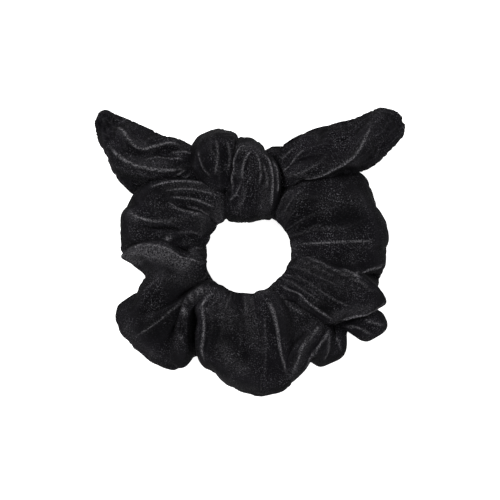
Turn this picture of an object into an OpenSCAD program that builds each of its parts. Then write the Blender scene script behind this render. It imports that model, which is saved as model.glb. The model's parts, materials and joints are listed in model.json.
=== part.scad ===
// Velvet scrunchie with a knotted bow, lying flat with its opening facing up.
// The origin is the middle of the opening, halfway up its wall.
// +Z is up through the opening and +Y points from the opening to the bow's knot.

/* [Opening and elastic] */
// Radius of the opening that the hair passes through, at rest
opening_r = 15.5; // [12.5:0.1:20]
// Height of the smooth cloth wall inside the opening
opening_wall_h = 8; // [6:0.1:10]
// Width of the flat elastic band, measured along Z
elastic_w = 6; // [4:0.1:7.2]
// Thickness of the elastic band
elastic_t = 1.2; // [0.8:0.1:1.6]
// Free play between the elastic band and the cloth round it
elastic_play = 0.5; // [0.4:0.1:0.8]
// Length of the elastic's sewn overlap
lap_l = 11; // [8:1:16]
// Diameter of the sewing thread
thread_d = 0.5; // [0.3:0.1:0.6]

/* [Cover] */
// Thickness of the velvet, backing and pile together
velvet_t = 1.2; // [0.8:0.1:1.5]
// Distance from the middle of the opening to the tip of the longest ruffle
ruffle_reach = 62.2; // [51:0.1:75]
// Height of the ruffles where they are fullest
ruffle_h = 25; // [20:0.1:30]
// How far the underside is pressed flat where the scrunchie rests
rest_cut = 1; // [0.5:0.1:2]
// Depth of the gathered core, from the opening's wall outwards
core_depth = 18; // [15:0.1:22]
// Height of the gathered core
core_h = 16; // [14:0.1:18]
// Width of the cover's long seam allowance, from the opening's wall inwards
allowance = 4.4; // [3.6:0.1:6]
// Width of the gap between the two halves of the cover and elastic
stretch_gap = 0.4; // [0.2:0.1:1]

/* [Bow] */
// Thickness of the bow's strip where it passes through the opening
band_inner_t = 1.5; // [1:0.1:2]
// Thickness of its bunched layers over, under and behind the core
band_t = 3; // [2:0.1:3.8]
// Width of the winding round the core
band_w = 18; // [12:0.1:22]
// Space between the winding and the core
band_play = 0.3; // [0.2:0.1:0.5]
// Radius of the knot's big left fold
fold_r = 10.5; // [8.5:0.1:11.5]
// Radius of the knot's top fold, where the strip crosses itself
crossing_r = 9.5; // [8:0.1:11.5]
// Half the width of an ear at its root
ear_root_w = 6; // [4:0.1:7.2]
// Half the thickness of an ear at its root
ear_root_t = 2.4; // [1.8:0.1:2.9]
// Space between an ear and the knot or ruffle beside it
ear_play = 0.9; // [0.6:0.1:1.5]

/* [Hidden] */
$fn = 48;
ring_fn = 96;
thread_fn = 16;

// Colours
velvet = [0.03, 0.03, 0.035];
rubber = [0.12, 0.12, 0.12];
thread = [0.06, 0.06, 0.06];

// Longer than any piece, for cutting tools
far = 2 * ruffle_reach;

// Height of the surface that the ruffles rest on
floor_z = rest_cut - ruffle_h / 2;

// Gathered core: a ring of rounded section that the ruffles grow from
core_r = opening_r + core_depth;
corner_steps = 6;

// Waist: the recess where the bow's winding presses the opening's wall outwards
knot_angle = 83;
waist_r = opening_r + band_inner_t + band_play;
waist_half_w = band_w / 2 + band_play;

// Ruffle profile: a lens made by two equal arcs, from beside the opening to the longest tip
lens_in = opening_r + 0.5;
lens_mid = (lens_in + ruffle_reach) / 2;
lens_half_w = (ruffle_reach - lens_in) / 2;
lens_half_h = ruffle_h / 2;
lens_arc_r = (pow(lens_half_w, 2) + pow(lens_half_h, 2)) / (2 * lens_half_h);
lens_drop = lens_arc_r - lens_half_h;

// Ruffles seen from above, anticlockwise from the right: direction in degrees,
// how far each stops short of the longest tip, and half its width, as an angle at the opening's middle
ruffles = [
  [22, 8.4, 26],
  [-3, 7.2, 31.8],
  [-32, 7.5, 26.8],
  [-30, 0, 9.1],
  [-50, 6.8, 10.4],
  [-87, 5.7, 41],
  [218, 0, 24],
  [166, 6.6, 22.7],
  [152, 15, 17.7]
];
// Width of the stem that joins a ruffle to the core, as a share of the ruffle's own width
stem_share = 0.6;

// Elastic band
elastic_r = waist_r + velvet_t + elastic_play;
lap_angle = -90;
lap_half = lap_l / (2 * elastic_r) * 180 / PI;
lap_ramp = 18;
lap_rows = 6;
stitch_count = 7;
stitch_margin = 0.9;
stitch_proud = 0.2;

// Long seam of the cover: both plies turned inwards, above the elastic, with the thread on top
allowance_t = velvet_t;
allowance_z = elastic_w / 2 + elastic_play + 0.2;
long_seam_r = opening_r + allowance - thread_d;

// Closing seam: stitches down the bottom ruffle, above and below, in degrees along its arc
closing_angle = -85;
closing_stitch_l = 2;
closing_pitch = 3.2;
closing_from = -28;
closing_to = 30;

// Knot, above the core's middle
knot_z = 3;
fold_at = [-13, core_r + 5.5, knot_z];
crossing_at = [1, core_r + 1, knot_z];
fold_turn = 20;

// Ears. Each row is a point on the spine, measured from the root,
// then half the width and half the thickness there.
ear_z = 2;
left_root = [fold_at[0] - fold_r - ear_root_t - ear_play, fold_at[1] - 1, ear_z];
right_root = [knot_edge_x(core_r + 4.5) + ear_root_t + ear_play, core_r + 4.5, ear_z];
left_ear = [
  [0, 0, 0, ear_root_w, ear_root_t],
  [-14.5, 2, -2, 10.5, 3.4],
  [-24.5, 9.2, -7, 7.4, 3],
  [-31.6, 15.7, -10.5, 3.2, 2.2]
];
right_ear = [
  [0, 0, 0, ear_root_w, ear_root_t],
  [14.5, 3.4, -1.5, 9.2, 3.4],
  [29.5, 8.8, -7, 9.4, 3.2],
  [40, 13.4, -10.5, 5.4, 2.4]
];
ear_steps = 4;
ear_sides = 16;
ear_seam_inset = 1.4;
thread_sides = 6;

// Right-hand edge of the winding at height y above the opening's middle
function knot_edge_x(y) =
  y / tan(knot_angle) + (band_w / 2) / sin(knot_angle);

// Radius of a ruffle's round tip, which touches both sides of its angle
function ruffle_r(f) =
  (ruffle_reach - f[1]) * sin(f[2]) / (1 + sin(f[2]));

// Lowest Y that an ear comes to
function ear_low_y(rows, root) =
  root[1] + min([for (row = rows) row[1] - row[3]]);

// Item number i of a list, held at its ends
function held(list, i) = list[max(0, min(len(list) - 1, i))];

// Smooth curve through the rows of a list, with a given number of steps to each span
function smooth_rows(rows, steps) = [
  for (i = [0 : len(rows) - 2])
    for (k = [0 : (i == len(rows) - 2 ? steps : steps - 1)])
      let (
        t = k / steps,
        a = held(rows, i - 1),
        b = rows[i],
        c = rows[i + 1],
        d = held(rows, i + 2)
      )
      0.5 * (2 * b + (c - a) * t + (2 * a - 5 * b + 4 * c - d) * t * t
        + (3 * b - a - 3 * c + d) * t * t * t)
];

// Smooth rows of an ear, moved to its root
function placed(rows, root) = [
  for (row = smooth_rows(rows, ear_steps))
    [row[0] + root[0], row[1] + root[1], row[2] + root[2], row[3], row[4]]
];

// Direction of the spine at row i, seen from above
function heading(rows, i) =
  let (
    a = held(rows, i - 1),
    b = held(rows, i + 1),
    d = [b[0] - a[0], b[1] - a[1], 0]
  )
  d / norm(d);

// Row moved along a direction seen from above, with its own half width and half thickness
function moved(row, d, s, w, t) = [row[0] + d[0] * s, row[1] + d[1] * s, row[2], w, t];

// Placed rows with a half-round start and tip added, all drawn in by a wall's thickness
function closed_rows(body, wall) =
  let (
    last = len(body) - 1,
    out = heading(body, 0),
    away = heading(body, last),
    start_w = body[0][3] - wall,
    start_t = body[0][4] - wall,
    tip_w = body[last][3] - wall,
    tip_t = body[last][4] - wall
  )
  concat(
    [for (a = [75, 50, 25])
      moved(body[0], out, -start_t * sin(a), start_w - start_t * (1 - cos(a)), start_t * cos(a))],
    [for (row = body) row - [0, 0, 0, wall, wall]],
    [for (a = [25, 50, 75])
      moved(body[last], away, tip_w * sin(a), tip_w * cos(a), tip_t * cos(a))]
  );

// Closed body with an elliptical section at each row
module pillow(rows, sides) {
  count = len(rows);
  points = [
    for (i = [0 : count - 1])
      let (
        d = heading(rows, i),
        across = [-d[1], d[0], 0],
        middle = [rows[i][0], rows[i][1], rows[i][2]]
      )
      for (j = [0 : sides - 1])
        let (a = 360 * j / sides)
        middle + across * rows[i][3] * cos(a) + [0, 0, rows[i][4] * sin(a)]
  ];
  walls = [
    for (i = [0 : count - 2], j = [0 : sides - 1])
      let (
        a = i * sides + j,
        b = i * sides + (j + 1) % sides
      )
      each [[a, b + sides, b], [a, a + sides, b + sides]]
  ];
  start = [for (j = [1 : sides - 2]) [0, j, j + 1]];
  last = (count - 1) * sides;
  finish = [for (j = [1 : sides - 2]) [last, last + j + 1, last + j]];
  polyhedron(points, concat(start, walls, finish));
}

// Section of the core in the plane of radius and Z, grown all round,
// with its inner wall at x0 and straight over the opening wall's height
module core_profile(grow, x0) {
  top = core_h / 2 + grow;
  straight = opening_wall_h / 2;
  corner = top - straight;
  x1 = core_r + grow;
  corners = [
    [x0 + corner, -straight, 180],
    [x1 - corner, -straight, 270],
    [x1 - corner, straight, 0],
    [x0 + corner, straight, 90]
  ];
  polygon([
    for (c = corners, k = [0 : corner_steps])
      let (a = c[2] + 90 * k / corner_steps)
      [c[0] + corner * cos(a), c[1] + corner * sin(a)]
  ]);
}

module core(grow) {
  rotate_extrude($fn = ring_fn) core_profile(grow, opening_r - grow);
}

// Room for the winding on the opening's side of the core
module waist(wall) {
  rotate(knot_angle - 90)
    intersection() {
      cylinder(h = far, r = waist_r + wall, center = true, $fn = ring_fn);
      translate([-waist_half_w - wall, 0, -far / 2])
        cube([2 * (waist_half_w + wall), far, far]);
    }
}

// Lens of the ruffles, drawn in by a wall's thickness
module lens(wall) {
  rotate_extrude($fn = ring_fn)
    intersection() {
      translate([lens_mid, -lens_drop])
        circle(lens_arc_r - wall, $fn = ring_fn);
      translate([lens_mid, lens_drop])
        circle(lens_arc_r - wall, $fn = ring_fn);
      translate([opening_r, floor_z + wall])
        square([ruffle_reach, ruffle_h]);
    }
}

// Room for the knot and the ears, seen from above
module bow_room(wall) {
  rotate(knot_angle - 90)
    translate([-waist_half_w - wall, 0])
      square([2 * (waist_half_w + wall), far]);
  translate([fold_at[0], fold_at[1]])
    circle(fold_r + band_play + wall);
  translate([crossing_at[0], crossing_at[1]])
    circle(crossing_r + band_play + wall);
  translate([-far, ear_low_y(left_ear, left_root) - ear_play - wall])
    square([far, far]);
  translate([0, ear_low_y(right_ear, right_root) - ear_play - wall])
    square([far, far]);
}

// Outline of the ruffles seen from above: each is a round tip on a stem
module ruffle_outline(wall) {
  difference() {
    for (f = ruffles) {
      middle = ruffle_reach - f[1] - ruffle_r(f);
      stem = stem_share * ruffle_r(f) - wall;
      rotate(f[0]) {
        translate([middle, 0])
          circle(ruffle_r(f) - wall);
        translate([0, -stem])
          square([middle, 2 * stem]);
      }
    }
    bow_room(wall);
  }
}

// Cover as a filled body: the core with its ruffles, drawn in by a wall's thickness
module cover_body(wall) {
  difference() {
    union() {
      core(-wall);
      intersection() {
        lens(wall);
        translate([0, 0, -far / 2])
          linear_extrude(far)
            ruffle_outline(wall);
        // The ruffles start outside the rounded lip of the opening
        difference() {
          cylinder(h = far, r = far, center = true);
          cylinder(h = 2 * far, r = opening_r + (core_h - opening_wall_h) / 2 + wall, center = true);
        }
      }
    }
    waist(wall);
  }
}

// Keeps the half of its children on one side of the stretch gap: side is 1 for +Y, -1 for -Y
module half(side) {
  intersection() {
    children();
    translate([-far, side > 0 ? stretch_gap / 2 : -far - stretch_gap / 2, -far / 2])
      cube([2 * far, far, far]);
  }
}

// Both plies of the long seam's allowance, a ring on the inside of the opening's wall
module seam_allowance() {
  difference() {
    translate([0, 0, allowance_z])
      cylinder(h = allowance_t, r = opening_r + allowance, $fn = ring_fn);
    cylinder(h = far, r = opening_r + velvet_t / 2, center = true, $fn = ring_fn);
    waist(velvet_t / 2);
  }
}

// Velvet tube, hollow, gathered over the elastic
module cover(side) {
  color(velvet)
    half(side) {
      difference() {
        cover_body(0);
        cover_body(velvet_t);
      }
      seam_allowance();
    }
}

module elastic_upper() {
  color(rubber)
    half(1)
      difference() {
        cylinder(h = elastic_w, r = elastic_r + elastic_t, center = true, $fn = ring_fn);
        cylinder(h = 2 * elastic_w, r = elastic_r, center = true, $fn = ring_fn);
      }
}

// Flat strip that follows rows of [angle, inner radius]
module strip(rows) {
  translate([0, 0, -elastic_w / 2])
    linear_extrude(elastic_w)
      polygon(concat(
        [for (row = rows) row[1] * [cos(row[0]), sin(row[0])]],
        [for (i = [len(rows) - 1 : -1 : 0])
          (rows[i][1] + elastic_t) * [cos(rows[i][0]), sin(rows[i][0])]]
      ));
}

// The band's two ends: one runs straight to the overlap, the other steps out and lies on it
module elastic_lower() {
  gap_angle = stretch_gap / 2 / elastic_r * 180 / PI;
  lap_start = lap_angle - lap_half;
  lap_end = lap_angle + lap_half;
  ramp_end = lap_end + lap_ramp;
  inner_start = gap_angle - 180;
  inner_sweep = lap_end - lap_ramp / 3 - inner_start;
  inner_end = [for (k = [0 : 24]) [inner_start + inner_sweep * k / 24, elastic_r]];
  outer_end = concat(
    [for (k = [0 : 8]) [lap_start + 2 * lap_half * k / 8, elastic_r + elastic_t]],
    [for (k = [1 : lap_rows])
      [lap_end + lap_ramp * k / lap_rows,
       elastic_r + elastic_t * (1 + cos(180 * k / lap_rows)) / 2]],
    [for (k = [1 : 12]) [ramp_end - (gap_angle + ramp_end) * k / 12, elastic_r]]
  );
  color(rubber) {
    strip(inner_end);
    strip(outer_end);
  }
}

// Zigzag bar tack through both layers of the elastic's overlap
module elastic_stitches() {
  spread = 0.75 * lap_half;
  reach_z = elastic_w / 2 - stitch_margin;
  color(thread)
    for (k = [0 : stitch_count - 1])
      rotate(lap_angle + spread * (2 * k / (stitch_count - 1) - 1))
        translate([elastic_r - stitch_proud, 0, k % 2 == 0 ? reach_z : -reach_z])
          rotate([0, 90, 0])
            cylinder(h = 2 * (elastic_t + stitch_proud), d = thread_d, $fn = thread_fn);
}

module long_seam(side) {
  color(thread)
    half(side)
      rotate_extrude($fn = ring_fn)
        translate([long_seam_r, allowance_z + allowance_t])
          circle(d = thread_d, $fn = thread_fn);
}

// Straight stitches that follow the arc of the ruffle, above and below
module closing_seam() {
  turn = closing_pitch / lens_arc_r * 180 / PI;
  color(thread)
    rotate(closing_angle)
      for (top = [1, -1], a = [closing_from : turn : closing_to])
        if (top > 0 || clear_of_rest(a))
          translate([lens_mid, 0, -top * lens_drop])
            rotate([0, top > 0 ? a : 180 - a, 0])
              translate([-closing_stitch_l / 2, 0, lens_arc_r])
                rotate([0, 90, 0])
                  cylinder(h = closing_stitch_l, d = thread_d, $fn = thread_fn);
}

// True where the underside has risen clear of the surface that the ruffle rests on
function clear_of_rest(a) = lens_drop - lens_arc_r * cos(a) > floor_z + thread_d;

// The strip wound round the core, with its inner face flush with the opening's wall
module winding() {
  intersection() {
    rotate_extrude($fn = ring_fn)
      core_profile(band_play + band_t, opening_r);
    rotate(knot_angle - 90)
      translate([-band_w / 2, 0, -far / 2])
        cube([band_w, far, far]);
  }
}

// Fold of the knot. Its poles point along Y, where no other surface cuts them.
module fold(at, r) {
  translate(at)
    rotate([90, 0, fold_turn])
      sphere(r);
}

// The winding and the folds of the knot, all one strip
module bow_knot() {
  color(velvet)
    difference() {
      union() {
        winding();
        fold(fold_at, fold_r);
        fold(crossing_at, crossing_r);
      }
      difference() {
        core(band_play);
        cylinder(h = far, r = waist_r - band_play, center = true, $fn = ring_fn);
      }
    }
}

// Ear: a sewn pocket of velvet, turned right side out
module ear(rows, root) {
  body = placed(rows, root);
  color(velvet)
    difference() {
      pillow(closed_rows(body, 0), ear_sides);
      pillow(closed_rows(body, velvet_t), ear_sides);
    }
}

// Seam thread along one edge of an ear, round its tip and back
module ear_seam(rows, root) {
  body = placed(rows, root);
  last = len(body) - 1;
  tip_w = body[last][3] - ear_seam_inset;
  edges = concat(
    [for (i = [1 : last]) edge_row(body, i, body[i][3] - ear_seam_inset, 90)],
    [for (a = [60, 30, 0, -30, -60]) edge_row(body, last, tip_w, a)],
    [for (i = [last : -1 : 1]) edge_row(body, i, body[i][3] - ear_seam_inset, -90)]
  );
  color(thread)
    pillow(edges, thread_sides);
}

// Thread's row at distance w from the spine, in a direction turned from the spine's heading
function edge_row(body, i, w, turn) =
  let (
    d = heading(body, i),
    side = [-d[1], d[0], 0],
    to = cos(turn) * d + sin(turn) * side
  )
  moved(body[i], to, w, thread_d / 2, thread_d / 2);

cover(1);  // cover_upper
cover(-1);  // cover_lower
elastic_upper();
elastic_lower();
elastic_stitches();
long_seam(1);  // long_seam_upper
long_seam(-1);  // long_seam_lower
closing_seam();
bow_knot();
ear(left_ear, left_root);  // bow_left_ear
ear(right_ear, right_root);  // bow_right_ear
ear_seam(left_ear, left_root);  // left_ear_seam
ear_seam(right_ear, right_root);  // right_ear_seam
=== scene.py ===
"""Looks of the velvet scrunchie: a gathered tube over an elastic ring, with a knotted two-eared bow.

Lengths in the tables are millimetres in the CAD model's own frame: the origin is the middle of the opening,
+Y points to the bow's knot and +Z is up. Each soft form is a flattened tube, given as ribs that run
from one edge of the flattened cloth to the other. A smooth surface goes through the ribs, and two plies of
velvet lie on either side of it.
"""
import json
import math

import bmesh
import bpy
import numpy as np
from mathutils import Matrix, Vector, noise
from mathutils.bvhtree import BVHTree


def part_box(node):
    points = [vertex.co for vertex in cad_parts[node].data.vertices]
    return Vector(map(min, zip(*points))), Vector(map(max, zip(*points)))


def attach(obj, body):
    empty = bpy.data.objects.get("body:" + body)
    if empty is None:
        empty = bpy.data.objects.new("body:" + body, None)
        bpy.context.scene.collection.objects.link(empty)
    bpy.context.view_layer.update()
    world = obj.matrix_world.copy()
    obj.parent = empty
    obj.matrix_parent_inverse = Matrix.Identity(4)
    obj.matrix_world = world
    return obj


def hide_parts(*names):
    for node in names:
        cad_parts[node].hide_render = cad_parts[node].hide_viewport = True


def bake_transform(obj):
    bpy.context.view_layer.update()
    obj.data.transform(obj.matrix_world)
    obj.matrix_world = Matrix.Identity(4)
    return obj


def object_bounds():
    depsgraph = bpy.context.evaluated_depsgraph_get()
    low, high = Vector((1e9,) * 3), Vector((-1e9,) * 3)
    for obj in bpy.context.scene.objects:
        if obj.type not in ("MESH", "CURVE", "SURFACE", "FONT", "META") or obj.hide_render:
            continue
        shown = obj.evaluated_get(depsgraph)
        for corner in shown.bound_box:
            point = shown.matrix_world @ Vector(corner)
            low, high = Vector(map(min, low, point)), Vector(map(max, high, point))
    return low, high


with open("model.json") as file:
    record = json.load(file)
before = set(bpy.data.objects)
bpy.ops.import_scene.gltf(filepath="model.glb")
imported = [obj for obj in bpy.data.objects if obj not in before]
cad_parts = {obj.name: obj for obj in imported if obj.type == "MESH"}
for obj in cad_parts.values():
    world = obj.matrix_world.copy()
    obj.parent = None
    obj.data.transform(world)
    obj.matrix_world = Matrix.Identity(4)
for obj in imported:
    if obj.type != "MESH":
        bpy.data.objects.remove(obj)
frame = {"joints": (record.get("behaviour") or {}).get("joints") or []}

MM = 0.001
CAD_LOW, CAD_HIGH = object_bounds()
FLOOR_Z = CAD_LOW.z

# ---------------------------------------------------------------- shapes, in millimetres

# The cover's ribs, anticlockwise from the left of the knot. Each runs from the opening outwards.
COVER_RIBS = [
    # under the knot's left side
    [(-6.5, 15.6, 0), (-8.6, 21, 0), (-11, 27, -1), (-14, 30, -4)],
    # cloth turned down behind the top-left ridge
    [(-8.6, 14.8, 0), (-14, 22, -2), (-24, 23.5, -5), (-36, 22.5, -8)],
    # top-left ridge, which is the ring's edge beside the left ear
    [(-9.6, 13.9, 0), (-15.5, 24.6, 3.4), (-23, 27, 4.6), (-31, 28, 4.4), (-38, 26.6, 2.6),
     (-43.6, 24.2, -2)],
    [(-10.6, 13.2, 0), (-19, 20.8, 3.2), (-30.5, 24.6, 5.6), (-39, 24.2, 4.6), (-47.2, 20.8, -5)],
    # short crease between the top-left ridge and the next one
    [(-11.8, 12.5, 0), (-21, 16.8, -0.6), (-30, 20.6, 2.8), (-39, 20.4, 4), (-48.6, 18.8, -5.4)],
    # second ridge of the left lobe
    [(-13, 11.4, 0), (-22, 12.8, 5), (-30.8, 13.7, 6.4), (-38, 14.2, 6.4), (-44, 16, 4.6),
     (-50.2, 15.2, -5)],
    [(-14.4, 9.7, 0), (-23, 9.9, 0.6), (-34, 10.6, 3), (-43, 11.5, 3.2), (-50.8, 10.6, -6)],
    # third ridge of the left lobe
    [(-15.6, 7.6, 0), (-23.4, 6.8, 4.2), (-33.2, 7.2, 5.4), (-42, 7.4, 3.6), (-50.8, 6, -6.4)],
    [(-16.5, 5, 0), (-24, 4.6, -0.6), (-34, 5, 0), (-42, 4.8, -1), (-50.4, 2, -6)],
    # hidden turn under the bright fold
    [(-17.1, 2.2, 0), (-24, -0.8, -3), (-33, -0.6, -4.4), (-40, -1.4, -5.6), (-45.6, -3, -7.4)],
    # bright fold, where the lower left lobe rolls over the left lobe
    [(-17.4, 0.2, 0), (-24.6, -0.6, 4.6), (-29.2, 2, 6.8), (-35, 3.8, 8.2), (-42.4, 2.6, 7),
     (-49.6, -0.8, 0.5)],
    [(-17.2, -1.6, 0), (-24.6, -3.4, 5.4), (-33.4, -1.4, 8.4), (-39.4, -1, 7), (-45.4, -3.4, 0)],
    [(-16.8, -3.6, 0), (-24, -7.4, 3.6), (-33, -7.6, 6), (-41, -8, -3)],
    [(-16, -5.6, 0), (-23.2, -11.4, 1), (-32.6, -13, 4), (-39.4, -13.6, 2), (-44.4, -14.8, -6)],
    # long valley of the lower left lobe
    [(-15, -7.6, 0), (-22, -14.6, -1.8), (-29.4, -20, 0), (-40, -21.6, 1), (-52.2, -21, -7)],
    # faint ridge of the lower left lobe
    [(-14, -9.2, 0), (-22, -16.6, 1.4), (-33.2, -22.8, 4.2), (-41, -27.4, 2.6), (-51.8, -28.8, -7)],
    [(-13.4, -10, 0), (-21.8, -18, 1), (-32.4, -27.8, 3), (-39.6, -33, 0.6), (-45.6, -36.6, -7)],
    [(-12.9, -10.7, 0), (-21.8, -18.6, 0.8), (-30, -28, 1), (-35.4, -36, -0.6), (-38.6, -42.2, -7)],
    [(-12.6, -11, 0), (-21, -17.6, 1.2), (-26.6, -25.6, 1.6), (-30, -35, -0.4), (-31.8, -45.2, -7)],
    # small fold beside the bottom lobe
    [(-12.2, -11.4, 0), (-18.8, -14.9, 3.8), (-23, -19, 5.4), (-25.4, -24.6, 6), (-26.2, -31.4, 5),
     (-26.2, -37, 2), (-26, -44.4, -6)],
    # dark pocket between that fold and the bottom lobe
    [(-11.2, -12, 0), (-16, -15.8, 2.4), (-20.4, -20.2, 1), (-21.6, -26, -3.4), (-21.6, -33, -5),
     (-20.8, -40.6, -7)],
    # hidden turn under the bottom lobe's left edge
    [(-10, -12.8, 0), (-13.6, -17.4, 0.6), (-15.4, -22, -1.6), (-14.6, -28.6, -5), (-13.6, -36, -7),
     (-13, -42, -8)],
    # bottom lobe's left edge
    [(-9.2, -13.3, 0), (-13.2, -16.9, 4.2), (-17.4, -20.6, 6.2), (-17, -25.6, 8), (-17.6, -31, 8.2),
     (-17.4, -37.4, 5.6), (-16, -43.8, -3)],
    [(-8, -13.9, 0), (-10.6, -20, 4.6), (-12.4, -28, 8), (-13, -37, 7.6), (-12.6, -47, -6)],
    [(-5, -14.7, 0), (-6, -22, 4.4), (-6.6, -32, 8), (-6.8, -43, 6.4), (-7, -51.6, -7)],
    [(-1.6, -14.9, 0), (-1.4, -24, 4), (-0.8, -34, 7.4), (-0.8, -45, 5.6), (-0.9, -54.6, -7)],
    # closing seam
    [(2, -14.8, 0), (4.2, -24, 2.6), (5.2, -34, 5), (5.2, -45, 4), (5.2, -56, -7)],
    # first ridge of the V-shaped fold
    [(4, -14.3, 0), (8.6, -20.4, 4.2), (10.8, -27.6, 6.6), (11.6, -34, 7), (13, -41.6, 5), (13.2, -48, 2),
     (11.8, -54.4, -7)],
    # the V's floor
    [(6, -13.5, 0), (12.4, -20, 0), (16.8, -26.4, 0.4), (17.2, -34, 1.2), (15.2, -42.4, 2.4),
     (14.8, -48, 0.6), (15.2, -52.3, -7)],
    # second ridge of the V
    [(7.2, -12.9, 0), (18, -19, -0.6), (27.6, -25, 2.6), (25.2, -28.8, 5), (21.2, -33.6, 6.4),
     (17.8, -38.8, 6), (16.4, -44, 4), (18, -50, -7)],
    [(8, -12.5, 0), (19.4, -19, -2), (29, -26.6, 1), (27.4, -32.2, 3.8), (23.4, -38, 4.2),
     (20.8, -42.6, 1.6), (21.6, -46, -7)],
    # third ridge, beside the small ruffles
    [(8.7, -12, 0), (20.4, -18.8, -3), (30.4, -26.8, 0), (29.4, -34.4, 4.4), (26.8, -37.4, 4.4),
     (25, -39.6, 2), (24.6, -41.8, -6.5)],
    # first small ruffle
    [(9.2, -11.7, 0), (21.4, -18.4, -4), (31.6, -26.6, -2), (31.8, -34, 1), (30, -39, 0),
     (29.4, -43.8, -7.4)],
    [(9.6, -11.4, 0), (22.4, -18, -4.6), (33.4, -26.8, -3.6), (35.4, -33, -1), (36.4, -36.6, -3),
     (37.2, -40, -7.6)],
    # notch between the small ruffles
    [(10, -11.1, 0), (23.6, -17.6, -5), (35, -25, -4.6), (38.4, -28.6, -5), (40.2, -30.4, -7.6)],
    # second small ruffle
    [(10.3, -10.9, 0), (25, -17.2, -5), (38, -24.8, -2.6), (43, -28.4, -0.4), (46, -31, -2),
     (48.4, -33.4, -7.6)],
    [(10.6, -10.6, 0), (26, -16.8, -5), (40, -23.6, -3), (47, -26, -0.2), (51, -28, -1.6), (55, -29, -7.4)],
    [(10.9, -10.4, 0), (27, -16.4, -5), (41, -21.6, -4.4), (48, -22.4, -3.6), (53.4, -23, -6.6)],
    # lower edge of the right-hand panel, which lies over the small ruffles
    [(11.3, -10.2, 0), (18.8, -16.6, 4.2), (26, -20.8, 6.6), (31, -24, 7.4), (35.2, -26.4, 4.4)],
    [(12.4, -9.3, 0), (21, -14.2, 4.8), (30, -19, 7.2), (36.6, -22.4, 6.4), (40.8, -24.4, 2.6)],
    [(13.8, -7.9, 0), (24, -11.6, 5), (34, -15.8, 7.4), (41.4, -19.6, 6.2), (46.8, -23.2, 2.2)],
    [(15.1, -5.9, 0), (26, -8.4, 5), (37, -12, 7.8), (45.4, -16.6, 6.8), (51.2, -20.8, 2)],
    # upper ridge of that panel
    [(16, -4, 0), (27, -4.9, 6), (35.4, -7.4, 8.8), (42.6, -9.8, 9), (48.4, -13.4, 7.4), (54, -18.4, 1.6)],
    [(16.6, -2.6, 0), (27, -3, 3.4), (36, -5.6, 4.6), (43, -8.2, 3), (48.4, -11.6, 0.4), (51.4, -15.4, -5)],
    # dark pocket
    [(17, -1.4, 0), (27, -1, 2.4), (37.4, -3.8, 1.4), (44.6, -6.2, -2), (50, -8.8, -4.4), (51.8, -12, -7)],
    # pocket's upper edge
    [(17.3, 0, 0), (28, 1, 5), (38, -2.2, 5.6), (44.4, -4.2, 5.4), (49.8, -3, 3.2), (53.6, -3.4, -5)],
    [(17.5, 2.2, 0), (28, 2.8, 5), (38, 2, 6.6), (47, 2, 5.4), (55.2, 3.2, -6)],
    # soft ridge of the smooth right-hand panel
    [(17.3, 4.4, 0), (27.6, 5.2, 6.4), (38, 5.4, 8), (47.4, 5.8, 6.8), (55.8, 7.6, -6)],
    [(16.7, 7, 0), (27, 9, 5.6), (37, 10.4, 8), (47, 11.6, 6.4), (55, 12.4, -6)],
    [(15.6, 9.4, 0), (25.4, 14.6, 6), (35, 17.4, 8), (44.4, 19, 6), (51.4, 19.2, -6)],
    [(14.2, 11.4, 0), (21.4, 18.6, 5.6), (30.4, 23, 6.4), (40, 26, 4), (49, 26.6, -6)],
    [(12.6, 13, 0), (17.2, 21, 4.4), (25, 27.4, 3), (35, 31, -0.6), (45.6, 32.4, -7)],
    # under the right ear and the knot
    [(10.6, 14.2, 0), (13.6, 21.4, 0.6), (19.6, 28.4, -2.6), (27, 31.8, -5), (35, 33, -8)],
    [(8.2, 15.2, 0), (10.6, 21.4, -1), (14, 27.6, -3), (17, 32, -6)],
    [(3, 15.8, 0), (4, 21, -1), (5, 26, -2), (6, 30, -4)],
    [(-2, 15.9, 0), (-3, 21, -1), (-4, 26, -2), (-5, 30, -4)],
]

# The left ear's ribs, from its root inside the knot to its tip, each from its top edge to its lower edge.
LEFT_EAR_RIBS = [
    [(-17, 41, 2), (-17, 37.6, 2.6), (-17, 33.4, 1.6), (-17, 28.6, -1)],
    [(-21.6, 43, 0.4), (-22, 40.6, 3), (-22.4, 38, 4), (-22.8, 35, 4), (-23, 32.4, 2), (-23.2, 28, -2)],
    [(-26, 45, -1), (-26.6, 42.6, 2.6), (-27, 39, 3.4), (-27.4, 35.8, 5), (-27.6, 33.6, 4),
     (-28, 30.4, 0), (-28, 27.4, -3)],
    [(-31.4, 46, -2), (-32.6, 45, 2.6), (-33.4, 40.6, 2.4), (-33.8, 37, 4), (-34, 34.2, 5.4),
     (-33.6, 30.6, 0.6), (-33, 26.6, -3)],
    [(-37.2, 49, -3), (-38, 44.4, 3.2), (-39.4, 40.2, 2), (-40.6, 37.2, 4.2), (-41, 35, 5.4),
     (-40.4, 30, -0.4), (-39.6, 24.4, -4.6)],
    [(-42, 51.8, -4), (-42.6, 46.4, 1.6), (-43.2, 43.2, 3.4), (-45.4, 39.8, 2.4), (-47, 37, 4.6),
     (-47, 31.6, -1.4), (-45.4, 24.6, -5.6)],
    [(-47.4, 54, -5), (-48.2, 50, -0.6), (-48.6, 47.4, 1.8), (-50, 43.6, 1), (-51, 40.4, 3.4),
     (-52, 36, -2.6), (-51.2, 31.4, -6.4)],
    [(-52.6, 56.4, -6), (-53, 52.6, -3), (-52.6, 50, -1.4), (-53.4, 46.6, -1), (-53.8, 43.6, 0.4),
     (-55, 41.8, -4.4), (-55, 38.4, -7.4)],
    [(-56.2, 57.8, -6.6), (-57, 55.2, -4.6), (-57.2, 52.6, -3.6), (-57.8, 49.8, -4), (-58.4, 46.6, -7)],
    [(-58.9, 56.9, -7.2), (-59.6, 55.4, -6.2), (-60, 53.4, -6), (-59.8, 51, -7.2)],
]

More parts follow.
